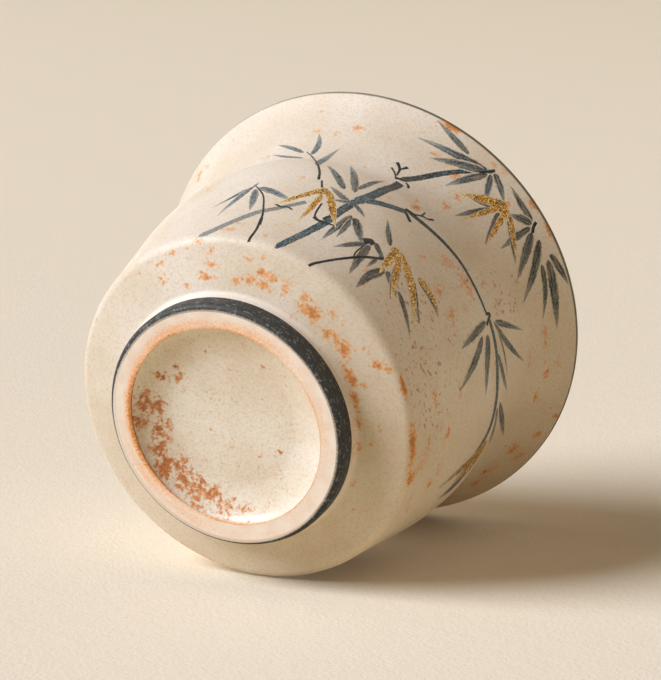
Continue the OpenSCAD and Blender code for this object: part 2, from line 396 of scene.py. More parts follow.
def glazeSurface(add, look):
    place = add("TexCoord", give="Object")
    # Marks are drawn out a little round the wall, as the glaze ran while the cup turned
    drawn = add("VectorMath", {0: place, 1: (1, 1, look["drawn"])}, operation="MULTIPLY")
    cloud = add("TexNoise", {"Vector": place, "Scale": perMm(look["cloud"]), "Detail": 3.0})
    tone = add("MapRange", {"Value": cloud, "From Min": 0.35, "From Max": 0.65})
    colour = add("Mix", {0: tone, 6: look["pale"], 7: look["warm"]}, **rgba)
    grain = add("TexNoise", {
        "Vector": place, "Scale": perMm(look["grain"]), "Detail": 3.0, "Roughness": 0.6})
    sandy = add("MapRange", {"Value": grain, "From Min": 0.46, "From Max": 0.72, "To Max": 0.5})

    # Blooms: clusters of small dots that merge where the iron is strong
    iron = add("Attribute", give="Fac", attribute_name="iron")
    cluster = add("TexNoise", {"Vector": place, "Scale": perMm(look["bloom"]), "Detail": 2.0})
    dots = add("TexNoise", {
        "Vector": drawn, "Scale": perMm(look["dot"]), "Detail": 3.0, "Roughness": 0.55,
        "Distortion": look["twist"]})
    grains = add("TexVoronoi", {"Vector": drawn, "Scale": perMm(look["dot"] * 0.8)})
    pull = look["base"]
    weights = [(dots, look["vary"]), (grains, -look["lumps"]), (cluster, look["clump"]), (iron, look["pull"])]
    for part, weight in weights:
        pull = add("Math", {0: part, 1: weight, 2: pull}, operation="MULTIPLY_ADD")
    stain = add("MapRange", {
        "Value": pull, "From Min": 0.81, "From Max": 1.06, "To Max": 0.92}, interpolation_type="SMOOTHSTEP")
    core = add("MapRange", {
        "Value": pull, "From Min": 0.98, "From Max": 1.24, "To Max": 0.85}, interpolation_type="SMOOTHSTEP")

    # Freckles differ in size, and about half of the cells have none
    cells = add("TexVoronoi", {"Vector": drawn, "Scale": perMm(look["freckle"])}, give=None)
    chance = add("SeparateColor", {"Color": cells.outputs["Color"]})
    size = add("MapRange", {"Value": chance, "From Min": 0.5, "From Max": 1.0, "To Max": 0.24})
    many = add("MapRange", {
        "Value": cloud, "From Min": 0.38, "From Max": 0.6, "To Min": 0.45, "To Max": 1.0})
    size = add("Math", {0: size, 1: many}, operation="MULTIPLY")
    torn = add("Math", {0: dots, 1: 0.55, 2: cells.outputs["Distance"]}, operation="MULTIPLY_ADD")
    past = add("Math", {0: torn, 1: size}, operation="SUBTRACT")
    freckle = add("MapRange", {"Value": past, "From Min": 0.24, "From Max": 0.15, "To Max": 0.75})
    rustMask = add("Math", {0: stain, 1: freckle}, operation="MAXIMUM")
    rust = add("Mix", {0: core, 6: look["rust"], 7: look["rustCore"]}, **rgba)

    # Thin glaze beside the foot is whiter and dry
    thin = add("Attribute", give="Fac", attribute_name="thin")
    dry = add("Math", {0: grain, 1: thin}, operation="MULTIPLY")
    dry = add("MapRange", {"Value": dry, "From Min": 0.3, "From Max": 0.6, "To Max": 0.8})

    # Red loops: the narrow band round each peak of a noise, broken up by the dots, with specks between them
    peaks = add("TexNoise", {
        "Vector": place, "Scale": perMm(look["loopSize"]), "Detail": 2.0, "Distortion": 0.6})
    ring = add("Math", {0: peaks, 1: 0.56, 2: 0.05}, operation="COMPARE")
    loopAt = add("Attribute", give="Fac", attribute_name="loops")
    broken = add("MapRange", {"Value": dots, "From Min": 0.4, "From Max": 0.53, "To Max": 0.9})
    loop = add("Math", {0: ring, 1: broken}, operation="MULTIPLY")
    strong = add("MapRange", {"Value": loopAt, "From Min": 0.6, "From Max": 0.95})
    loop = add("Math", {0: loop, 1: strong}, operation="MULTIPLY")
    specks = add("TexNoise", {"Vector": drawn, "Scale": perMm(look["speck"]), "Detail": 1.0})
    near = add("Math", {0: loopAt, 1: 0.12, 2: specks}, operation="MULTIPLY_ADD")
    speck = add("MapRange", {"Value": near, "From Min": 0.66, "From Max": 0.75, "To Max": 0.75})
    some = add("MapRange", {"Value": loopAt, "From Min": 0.05, "From Max": 0.3})
    speck = add("Math", {0: speck, 1: some}, operation="MULTIPLY")
    loop = add("Math", {0: loop, 1: speck}, operation="MAXIMUM")

    # Dark flecks, in a few of the cells
    sparse = add("TexVoronoi", {"Vector": place, "Scale": perMm(look["fleckSpacing"])}, give=None)
    chosen = add("SeparateColor", {"Color": sparse.outputs["Color"]})
    rare = add("Math", {0: chosen, 1: 0.62}, operation="GREATER_THAN")
    spot = add("MapRange", {
        "Value": sparse.outputs["Distance"], "From Min": 0.05, "From Max": 0.025, "To Max": 0.8})
    fleck = add("Math", {0: rare, 1: spot}, operation="MULTIPLY")
    layers = [(sandy, look["sand"]), (rustMask, rust), (dry, look["dry"]),
              (loop, look["loop"]), (fleck, look["fleck"])]
    for mask, layer in layers:
        colour = add("Mix", {0: mask, 6: colour, 7: layer}, **rgba)

    swell = add("TexNoise", {"Vector": place, "Scale": perMm(look["swell"]), "Detail": 2.0})
    height = add("Math", {0: swell, 1: 1.2, 2: grain}, operation="MULTIPLY_ADD")
    normal = add("Bump", {"Height": height, "Strength": 0.7, "Distance": look["bump"] * mm})
    low, high = look["roughness"]
    roughness = add("MapRange", {
        "Value": swell, "From Min": 0.3, "From Max": 0.7, "To Min": low, "To Max": high})
    return colour, roughness, normal


def creamGlaze(name, look):
    material, add = newMaterial(name)
    colour, roughness, normal = glazeSurface(add, look)
    shader = add("BsdfPrincipled", {
        "Base Color": colour, "Roughness": roughness, "Normal": normal, "IOR": look["ior"]})
    add("OutputMaterial", {"Surface": shader}, give=None)
    return material


# How much of a brush stroke's paint stays on: whole in the middle, torn by a noise along its edges
def brushCover(add, look):
    place = add("TexCoord", give="Object")
    stroke = add("Attribute", give="Vector", attribute_name="stroke")
    parts = add("SeparateXYZ", {"Vector": stroke}, give=None)
    side = add("Math", {0: parts.outputs["Y"]}, operation="ABSOLUTE")
    torn = add("TexNoise", {"Vector": place, "Scale": perMm(look["ragged"]), "Detail": 3.0})
    rough = add("Math", {0: torn, 1: look["tear"], 2: side}, operation="MULTIPLY_ADD")
    rough = add("Math", {0: parts.outputs["X"], 1: -0.22, 2: rough}, operation="MULTIPLY_ADD")
    first, last = look["edge"]
    edge = add("MapRange", {
        "Value": rough, "From Min": first, "From Max": last, "To Min": 1.0, "To Max": 0.0},
        interpolation_type="SMOOTHSTEP")
    return edge, side, parts


# Overglaze ink, brushed wet on the glaze: watery slate blue that settled in dark grains, with streaks
# along the stroke, ragged edges and darker rims where the colour pooled; it keeps the skin of the glaze
# under it, but is duller
inkLook = {
    "wash": "#5f7d8d", "deep": "#08121a", "ragged": 0.5, "tear": 0.5, "edge": (0.84, 1.22),
    "streak": (0.3, 3.4, 1.0), "grain": 0.32, "gloss": 0.2,
}


def slateInk():
    material, add = newMaterial("overglazeSlateInkBrushed")
    glaze, roughness, normal = glazeSurface(add, creamLook)
    edge, side, parts = brushCover(add, inkLook)
    brush = add("Attribute", give="Vector", attribute_name="brush")
    hairs = add("VectorMath", {0: brush, 1: inkLook["streak"]}, operation="MULTIPLY")
    hair = add("TexNoise", {"Vector": hairs, "Scale": 1.0, "Detail": 3.0, "Roughness": 0.6})
    dry = add("Math", {0: parts.outputs["X"], 1: 0.24, 2: 0.68}, operation="MULTIPLY_ADD")
    streak = add("MapRange", {
        "Value": hair, "From Min": 0.34, "From Max": 0.58, "To Min": dry, "To Max": 1.0})
    cover = add("Math", {0: parts.outputs["Z"], 1: edge}, operation="MULTIPLY")
    cover = add("Math", {0: cover, 1: streak}, operation="MULTIPLY", use_clamp=True)
    place = add("TexCoord", give="Object")
    grain = add("TexNoise", {
        "Vector": place, "Scale": perMm(inkLook["grain"]), "Detail": 2.0, "Roughness": 0.6})
    settled = add("MapRange", {
        "Value": grain, "From Min": 0.38, "From Max": 0.62, "To Min": -0.5, "To Max": 0.6})
    depth = add("Attribute", give="Fac", attribute_name="depth")
    pooled = add("MapRange", {
        "Value": side, "From Min": 0.45, "From Max": 0.85, "To Min": 0.0, "To Max": 0.2})
    dark = add("Math", {0: depth, 1: pooled}, operation="ADD")
    dark = add("Math", {0: dark, 1: settled}, operation="ADD", use_clamp=True)
    ink = add("Mix", {0: dark, 6: inkLook["wash"], 7: inkLook["deep"]}, **rgba)
    colour = add("Mix", {0: cover, 6: glaze, 7: ink}, **rgba)
    shader = add("BsdfPrincipled", {
        "Base Color": colour, "Roughness": roughness, "Normal": normal,
        "Specular IOR Level": inkLook["gloss"]})
    add("OutputMaterial", {"Surface": shader}, give=None)
    return material


# Fired gold over the glaze, brushed on thick and unevenly: grains of bright yellow metal in a dull ochre
# ground, torn at the edges; the sparkle on the grains is partly a painted glint in their colour
goldLook = {
    "bright": "#f4d988", "yellow": "#aa7310", "ochre": "#623c05", "thin": "#7c6c30",
    "flake": 0.26, "patch": 0.9, "ragged": 0.5, "tear": 1.0, "edge": (1.24, 1.5),
    "metal": 0.22, "roughness": (0.6, 0.4), "bump": 0.12,
}


def firedGold():
    material, add = newMaterial("firedGoldBrushed")
    glaze = glazeSurface(add, creamLook)[0]
    edge, _, parts = brushCover(add, goldLook)
    place = add("TexCoord", give="Object")
    flake = add("TexNoise", {
        "Vector": place, "Scale": perMm(goldLook["flake"]), "Detail": 3.0, "Roughness": 0.7})
    patch = add("TexNoise", {"Vector": place, "Scale": perMm(goldLook["patch"]), "Detail": 2.0})
    thick = add("MapRange", {"Value": patch, "From Min": 0.38, "From Max": 0.6})
    gold = add("Mix", {0: thick, 6: goldLook["ochre"], 7: goldLook["yellow"]}, **rgba)
    # Towards the tip of a stroke the gold is loose: paler, with more painted glints and bare gaps between
    # them
    loose = add("MapRange", {"Value": parts.outputs["Z"], "From Min": 0.9, "From Max": 0.6})
    paler = add("Math", {0: loose, 1: 0.8}, operation="MULTIPLY")
    gold = add("Mix", {0: paler, 6: gold, 7: goldLook["thin"]}, **rgba)
    lively = add("Math", {0: loose, 1: 0.06, 2: flake}, operation="MULTIPLY_ADD")
    # Painted glints: the highest flakes take the bright colour, which stands in for light sparkling on the
    # grains as well as their own brighter metal
    paintedGlint = add("MapRange", {"Value": lively, "From Min": 0.52, "From Max": 0.58})
    gaps = add("MapRange", {"Value": flake, "From Min": 0.48, "From Max": 0.4})
    gaps = add("Math", {0: gaps, 1: loose}, operation="MULTIPLY")
    cover = add("Math", {0: 1.0, 1: gaps}, operation="SUBTRACT")
    cover = add("Math", {0: cover, 1: edge}, operation="MULTIPLY")
    gold = add("Mix", {0: paintedGlint, 6: gold, 7: goldLook["bright"]}, **rgba)
    colour = add("Mix", {0: cover, 6: glaze, 7: gold}, **rgba)
    metallic = add("Math", {0: cover, 1: goldLook["metal"]}, operation="MULTIPLY")
    dull, bright = goldLook["roughness"]
    roughness = add("MapRange", {
        "Value": flake, "From Min": 0.35, "From Max": 0.65, "To Min": dull, "To Max": bright})
    normal = add("Bump", {"Height": flake, "Strength": 0.9, "Distance": goldLook["bump"] * mm})
    shader = add("BsdfPrincipled", {
        "Base Color": colour, "Metallic": metallic, "Roughness": roughness, "Normal": normal})
    add("OutputMaterial", {"Surface": shader}, give=None)
    return material


# Bare stoneware clay, turned and sponged smooth: pinkish white, dry, fine grained, flashed orange by fire
clayLook = {
    "pale": "#f0e9e6", "pink": "#ebddd6", "peach": "#f0b27a", "flash": "#b06a28",
    "grog": 0.45, "cloud": 3.0, "roughness": 0.72, "bump": 0.05,
}


def bareClay():
    material, add = newMaterial("bareStonewareClaySponged")
    place = add("TexCoord", give="Object")
    cloud = add("TexNoise", {"Vector": place, "Scale": perMm(clayLook["cloud"]), "Detail": 4.0})
    tone = add("MapRange", {"Value": cloud, "From Min": 0.38, "From Max": 0.62})
    colour = add("Mix", {0: tone, 6: clayLook["pale"], 7: clayLook["pink"]}, **rgba)
    flashed = add("Attribute", give="Fac", attribute_name="flash")
    blush = add("Math", {0: flashed, 1: 0.22}, operation="MULTIPLY", use_clamp=True)
    grog = add("TexNoise", {
        "Vector": place, "Scale": perMm(clayLook["grog"]), "Detail": 3.0, "Roughness": 0.6})
    pull = add("Math", {0: grog, 1: 0.8}, operation="MULTIPLY")
    pull = add("Math", {0: flashed, 1: 0.5, 2: pull}, operation="MULTIPLY_ADD")
    glow = add("MapRange", {"Value": pull, "From Min": 0.54, "From Max": 0.82, "To Max": 0.85})
    burnt = add("MapRange", {"Value": pull, "From Min": 0.8, "From Max": 1.05, "To Max": 0.9})
    for mask, layer in ((blush, "peach"), (glow, "peach"), (burnt, "flash")):
        colour = add("Mix", {0: mask, 6: colour, 7: clayLook[layer]}, **rgba)
    normal = add("Bump", {"Height": grog, "Strength": 0.6, "Distance": clayLook["bump"] * mm})
    shader = add("BsdfPrincipled", {
        "Base Color": colour, "Roughness": clayLook["roughness"], "Normal": normal})
    add("OutputMaterial", {"Surface": shader}, give=None)
    return material


# Charcoal slip, brushed round the foot on the wheel: matt blue-black with streaks that run round, worn
# pale grains, and rubbed through to the clay where the edge turns under
slipLook = {
    "dark": "#1e2225", "worn": "#868e92", "rubbed": "#e6dad2", "grain": 0.4, "streak": (0.7, 2.2, 1.0),
    "rub": (0.02, 0.14), "rubTurn": 175, "roughness": 0.6, "bump": 0.07,
}


def charcoalSlip():
    material, add = newMaterial("charcoalSlipBrushed")
    place = add("TexCoord", give="Object")
    wrap = add("Attribute", give="Vector", attribute_name="wrap")
    hairs = add("VectorMath", {0: wrap, 1: slipLook["streak"]}, operation="MULTIPLY")
    hair = add("TexNoise", {"Vector": hairs, "Scale": 1.0, "Detail": 4.0})
    grain = add("TexNoise", {
        "Vector": place, "Scale": perMm(slipLook["grain"]), "Detail": 3.0, "Roughness": 0.6})
    mixed = add("Math", {0: hair, 1: grain}, operation="MULTIPLY")
    worn = add("MapRange", {"Value": mixed, "From Min": 0.27, "From Max": 0.42, "To Max": 0.75})
    colour = add("Mix", {0: worn, 6: slipLook["dark"], 7: slipLook["worn"]}, **rgba)
    height = add("SeparateXYZ", {"Vector": wrap}, give="Y")
    rubbed = add("Attribute", give="Fac", attribute_name="rubbed")
    ragged = add("Math", {0: grain, 1: -0.05, 2: height}, operation="MULTIPLY_ADD")
    below = add("Math", {0: rubbed, 1: ragged}, operation="SUBTRACT")
    under = add("MapRange", {"Value": below, "From Min": 0.0, "From Max": 0.07, "To Max": 0.9})
    colour = add("Mix", {0: under, 6: colour, 7: slipLook["rubbed"]}, **rgba)
    normal = add("Bump", {"Height": grain, "Strength": 0.7, "Distance": slipLook["bump"] * mm})
    shader = add("BsdfPrincipled", {
        "Base Color": colour, "Roughness": slipLook["roughness"], "Normal": normal})
    add("OutputMaterial", {"Surface": shader}, give=None)
    return material


# The same glaze thinned by the fire over the lip, where the iron shows: a thin broken line of grey-brown
lipLook = {
    "line": "#352e26", "break": 3.0, "kept": 0.72, "keptTurn": 60, "keptEdge": 2.5, "keptMore": 1,
}


def ironLip():
    material, add = newMaterial("creamGlazeThinnedOverLip")
    glaze, roughness, normal = glazeSurface(add, creamLook)
    place = add("TexCoord", give="Object")
    crest = add("Attribute", give="Fac", attribute_name="crest")  # 0 outside to 1 inside
    rise = add("MapRange", {"Value": crest, "From Min": 0.03, "From Max": 0.12})
    fall = add("MapRange", {"Value": crest, "From Min": 0.84, "From Max": 0.74})
    patchy = add("TexNoise", {"Vector": place, "Scale": perMm(lipLook["break"]), "Detail": 4.0})
    thin = add("MapRange", {
        "Value": patchy, "From Min": 0.32, "From Max": 0.5, "To Min": 0.76, "To Max": 0.95})
    kept = add("Attribute", give="Fac", attribute_name="kept")  # the line is worn on one side
    mark = rise
    for part in (fall, thin, kept):
        mark = add("Math", {0: mark, 1: part}, operation="MULTIPLY")
    colour = add("Mix", {0: mark, 6: glaze, 7: lipLook["line"]}, **rgba)
    shader = add("BsdfPrincipled", {
        "Base Color": colour, "Roughness": roughness, "Normal": normal, "IOR": creamLook["ior"]})
    add("OutputMaterial", {"Surface": shader}, give=None)
    return material


# Thrown stoneware under the glaze: dry, warm and gritty; the coats hide it
bodyLook = {"pale": "#cdb193", "dark": "#b8977a", "grog": 0.8, "roughness": 0.8}


def thrownClay():
    material, add = newMaterial("stonewareClayThrown")
    place = add("TexCoord", give="Object")
    grog = add("TexNoise", {"Vector": place, "Scale": perMm(bodyLook["grog"]), "Detail": 4.0})
    colour = add("Mix", {0: grog, 6: bodyLook["pale"], 7: bodyLook["dark"]}, **rgba)
    shader = add("BsdfPrincipled", {
        "Base Color": colour, "Roughness": bodyLook["roughness"]})
    add("OutputMaterial", {"Surface": shader}, give=None)
    return material


cream = creamGlaze("ironSpeckledCreamGlazeSatin", creamLook)
insideLook = {**creamLook, "pale": "#e2d9ce", "warm": "#d9ccbb", "roughness": (0.3, 0.46)}
wellLook = {
    **creamLook, "pale": "#e8e5e1", "warm": "#ddd4c8", "rust": "#c97c32", "rustCore": "#8f4a14",
    "dot": 0.75, "drawn": 1.0, "vary": 1.0, "lumps": 0.2, "twist": 0.7, "base": 0.01, "freckle": 5,
    "roughness": (0.22, 0.36),
}

# Coats of glaze outside, inside and over the lip, each a finer turning of the solid that it replaces
outerRing = ringOf(skin[:lipFirst + 1], clay[:lipFirst + 1])
outerAt = ringOf(outerRun, outerRun)
cupGlaze = turnPiece("cupGlaze", outerRing, cup["fine"], cream, {
    "iron": lambda angle, j: spread(outerIron, angle, outerAt[j]),
    "loops": lambda angle, j: spread(redLoops, angle, outerAt[j]),
    "thin": lambda angle, j: np.clip(creamLook["dryReach"] - (outerAt[j] - outerRun[0]), 0, 1),
})
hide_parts("outer_glaze")

insideRing = ringOf(skin[lipLast:], clay[lipLast:])
cupInside = turnPiece("cupInside", insideRing, cup["plain"], creamGlaze("innerCreamGlazeSatin", insideLook), {
    "iron": lambda angle, j: spread(insideIron, angle, insideRing[j, 1]),
})
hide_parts("inner_glaze")

lipRing = ringOf(skin[lipFirst:lipLast + 1], clay[lipFirst:lipLast + 1])
overLip = np.linspace(0, 1, lipLast - lipFirst + 1)
crestAt = ringOf(overLip, overLip)
lipTurn = paintTurn + lipLook["keptTurn"]
lipLine = turnPiece("lipLine", lipRing, cup["fine"], ironLip(), {
    "iron": lambda angle, j: spread(outerIron, angle, outerRun[-1]),
    "crest": lambda angle, j: crestAt[j],
    "kept": lambda angle, j: lipLook["kept"] + (1 - lipLook["kept"]) * np.tanh(
        lipLook["keptEdge"] * np.cos(np.radians(angle - lipTurn)) + lipLook["keptMore"]),
})
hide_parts("lip_line")
print("glaze turned")


# Foot ring with its bare face, the slip band round it and the glazed well inside it
def footPieces():
    wellZ = seatZ - cup["glaze"]
    wellLow = np.array([faceR, cup["wellEdge"]])
    wallTop = np.array([faceR, wellZ - cup["wellFillet"]])
    ceilingEdge = np.array([faceR - cup["wellFillet"], wellZ])
    wellCorner = np.array([faceR, wellZ])
    well = chain(line(wellLow, wallTop, count=3), corner(wallTop, wellCorner, ceilingEdge))
    wellClay = inset(well, -cup["glaze"], up, inward)
    wellWall = wellClay[:len(wellClay) - cup["steps"] // 3]  # ends before the fillet runs flat
    wellSeat = np.array([[wellWall[-1, 0], seatZ]])
    poolEdge = np.array([faceR - cup["pool"], wellZ])  # the glaze pooled in the corner and rounds it
    pool = curve(wellLow, wellLow + up, poolEdge - inward * cup["pool"] / 3, poolEdge)
    pooled = chain(pool, line(poolEdge, np.array([0.0, wellZ]), cup["steps"]))
    wellRing = np.concatenate([pooled, [[0.0, seatZ]], wellSeat, wellWall[::-1]])[::-1]
    footWell = turnPiece("footWell", wellRing, cup["plain"], creamGlaze("wellCreamGlazePooled", wellLook), {
        "iron": lambda angle, j: spread(wellIron, angle, wellRing[j, 0]),
    })
    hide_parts("well_glaze")

    faceIn = np.array([faceR, 0.0])
    roundIn = np.array([footR - cup["footEdge"], 0.0])
    roundOut = np.array([footR, cup["footEdge"]])
    slip = chain(
        corner(roundIn, np.array([footR, 0.0]), roundOut),
        line(roundOut, np.array([footR, seatZ]), count=8),
    )
    slipClay = inset(slip, cup["slip"], -inward, up)
    face = line(faceIn, roundIn, count=14)
    footOutline = np.concatenate([face, slipClay, wellSeat, wellWall[::-1], [wellLow]])
    footRing = turnPiece("footRing", footOutline, cup["plain"], bareClay(), {
        "flash": lambda angle, j: spread(footFlash, angle, footOutline[j, 0]),
    })
    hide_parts("foot_ring")

    bandRing = ringOf(slip, slipClay)
    footBand = turnPiece("footBand", bandRing, cup["plain"], charcoalSlip(), {})
    spots = np.array([v.co for v in footBand.data.vertices]) / mm
    arc = np.arctan2(spots[:, 1], spots[:, 0]) * footR
    setAttribute(footBand.data, "wrap", np.stack([arc, spots[:, 2], np.zeros(len(arc))], 1))
    away = np.cos(arc / footR - math.radians(paintTurn + slipLook["rubTurn"]))  # rubbed higher on one side
    least, more = slipLook["rub"]
    setAttribute(footBand.data, "rubbed", least + more * np.clip(away, 0, 1))
    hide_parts("foot_band")


footPieces()
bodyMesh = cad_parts["cup_body"].data
bodyMesh.materials.clear()
bodyMesh.materials.append(thrownClay())
print("foot turned")


# Painting. A place on the wall is (degrees round from the painting's zero, mm up from the lower edge)
def wallRadius(run):
    return np.interp(run, outerRun, outer[:, 0])


def onWall(angle, run, lift):
    turn = np.radians(angle + paintTurn)
    radius = wallRadius(run)
    height = np.interp(run, outerRun, outer[:, 1])
    wayR = np.interp(run, outerRun, outerWay[:, 0])
    wayZ = np.interp(run, outerRun, outerWay[:, 1])
    reach = radius + wobble(turn, height) + lift * wayZ
    return np.stack([reach * np.cos(turn), reach * np.sin(turn), height - lift * wayR], -1)


# Smooth route through a few chosen places
def route(places, count):
    places = np.asarray(places, float)
    ends = np.concatenate([[2 * places[0] - places[1]], places, [2 * places[-1] - places[-2]]])
    at = np.linspace(0, len(places) - 1, count)
    k = np.minimum(at.astype(int), len(places) - 2)
    t = (at - k)[:, None]
    a, b, c, d = ends[k], ends[k + 1], ends[k + 2], ends[k + 3]
    return 0.5 * (
        2 * b + (c - a) * t + (2 * a - 5 * b + 4 * c - d) * t * t + (3 * b - a - 3 * c + d) * t ** 3)


# Each stroke lies a little above the one before it, so strokes that cross never share a surface
brushwork = {
    "caneLift": 0.006, "leafLift": 0.022, "twigLift": 0.06, "goldLift": 0.076,
    "next": 0.002, "nextLeaf": 0.004, "sprayLayers": 2, "twigLayers": 6, "lipGap": 0.05,
    "caneTone": 0.97, "point": 0.3, "opening": 14, "twigTone": 1.0, "twigWidth": 0.84, "twigDepth": 0.4,
    "leafTone": 0.95, "leafFade": 0.4, "fadeFrom": 0.6, "leafSharp": 0.85, "leafLeast": 0.02, "sway": 0.03,
    "goldFull": 0.3, "goldCrown": 0.03, "crownWidth": 0.8, "goldUneven": 0.2,
}


class PaintSheet:
    def __init__(self, seed):
        self.random = random.Random(seed)
        self.points, self.faces, self.strokes, self.brushes, self.depths = [], [], [], [], []
        self.places = []

    # One brush stroke: a strip that follows the wall, with its width given along it; firm for lines,
    # fading for leaves
    def lay(self, places, widths, tone, depth, lift, crown=0, uneven=0.07, rows=22, columns=6, firm=1.0,
            fade=0.0):
        path = route(places, rows)
        radius = wallRadius(path[:, 1])
        flat = np.stack([np.radians(path[:, 0]) * radius, path[:, 1]], 1)
        way = unit(np.gradient(flat, axis=0))
        run = travelled(flat)
        along = run / run[-1]
        width = np.array([widths(t) * self.random.uniform(1 - uneven, 1 + uneven) for t in along])
        across = np.linspace(-1, 1, columns + 1)
        normal = np.stack([-way[:, 1], way[:, 0]], 1)
        shift = across[None, :, None] * (width / 2)[:, None, None] * normal[:, None, :]
        angle = path[:, None, 0] + np.degrees(shift[..., 0] / radius[:, None])
        climb = np.minimum(path[:, None, 1] + shift[..., 1], outerRun[-1] - brushwork["lipGap"])
        heap = np.minimum(1, width / brushwork["crownWidth"])[:, None]
        rise = lift + crown * (1 - across[None, :] ** 2) * heap
        start = sum(len(p) for p in self.points)
        self.points.append(onWall(angle, climb, rise).reshape(-1, 3))
        grid = np.broadcast_to(along[:, None], angle.shape)
        sides = np.broadcast_to(across[None, :], angle.shape)
        seed = self.random.uniform(0, 100)
        fadeFrom = brushwork["fadeFrom"]
        tones = tone * (1 - fade * np.clip((grid - fadeFrom) / (1 - fadeFrom), 0, 1))
        self.strokes.append(np.stack([np.full(angle.shape, firm), sides, tones], -1).reshape(-1, 3))
        lengths, own = grid * run[-1], np.full(angle.shape, seed)
        self.brushes.append(np.stack([lengths, sides * width[:, None] / 2, own], -1).reshape(-1, 3))
        first, last = depth
        self.depths.append((first + (last - first) * grid).reshape(-1))
        self.places.append(np.stack([angle, climb], -1).reshape(-1, 2))
        step = columns + 1
        for i in range(rows - 1):
            for j in range(columns):
                a = start + i * step + j
                self.faces.append((a + 1, a, a + step, a + step + 1))

    def leaf(self, base, tip, width, lift, depth=(0.35, 0.2), full=0.33, bend=0.0, crown=0, uneven=0.07):
        base, tip = np.array(base, float), np.array(tip, float)
        middle = (base + tip) / 2
        side = np.array([-(tip - base)[1], (tip - base)[0]])
        middle = middle + side * (bend + self.random.uniform(-brushwork["sway"], brushwork["sway"]))
        sharp, tone = brushwork["leafSharp"], brushwork["leafTone"]
        blunt = sharp * full / (1 - full)
        peak = full ** blunt * (1 - full) ** sharp
        shape = lambda t: width * max(brushwork["leafLeast"], (t ** blunt) * ((1 - t) ** sharp) / peak)
        fade = brushwork["leafFade"]
        self.lay([base, middle, tip], shape, tone, depth, lift, crown, uneven, firm=0.0, fade=fade)

    def piece(self, name, material):
        places = np.concatenate(self.places)
        return addMesh(name, np.concatenate(self.points), self.faces, material, {
            "stroke": np.concatenate(self.strokes),
            "brush": np.concatenate(self.brushes),
            "depth": np.concatenate(self.depths),
            "iron": spread(outerIron, places[:, 0] + paintTurn, places[:, 1]),
            "loops": spread(redLoops, places[:, 0] + paintTurn, places[:, 1]),
        })


# Canes and branches: places along them, width at both ends, darkness at both ends and, if thin, the tone
canes = [
    ([(-26.2, -0.7), (-24.4, 2.6), (-22.4, 6), (-20.4, 10), (-19.4, 14.5), (-18.2, 19)],
     (1.35, 1.6), (0.5, 0.55)),
    ([(-18.2, 18.6), (-16.4, 22.5), (-15.4, 26.5), (-14.8, 30), (-14.6, 33)], (1.9, 1.6), (0.45, 1)),
    ([(-15.6, 33.9), (-12.9, 36.3), (-9.3, 39.8), (-5.6, 43), (-2, 45.6), (1.4, 47.8)],
     (1.4, 0.7), (1, 0.5)),
    ([(-17, 20.2), (-14, 21.5), (-11, 22.7), (-8.6, 23.6), (-6.2, 24.6)], (1.6, 1.3), (0.4, 0.7)),
    ([(-6.2, 24.9), (0, 25.3), (5, 25.7), (10, 26.1), (15, 26.3), (22, 26.2), (31, 26.2)],
     (1.1, 0.7), (0.9, 0.8)),
    ([(31.4, 26.6), (40, 26.5), (48, 25.9), (57, 25.7), (64.6, 25), (68.8, 23.3), (71.6, 21.4)],
     (1.2, 1.5), (0.55, 0.5)),
    ([(-52.8, -0.5), (-49.8, 0.9), (-46.6, 3.2), (-43, 5.7), (-39.4, 7.9), (-35.4, 9.7), (-29.3, 13.4)],
     (1.7, 0.9), (0.3, 0.4), 0.74),
]

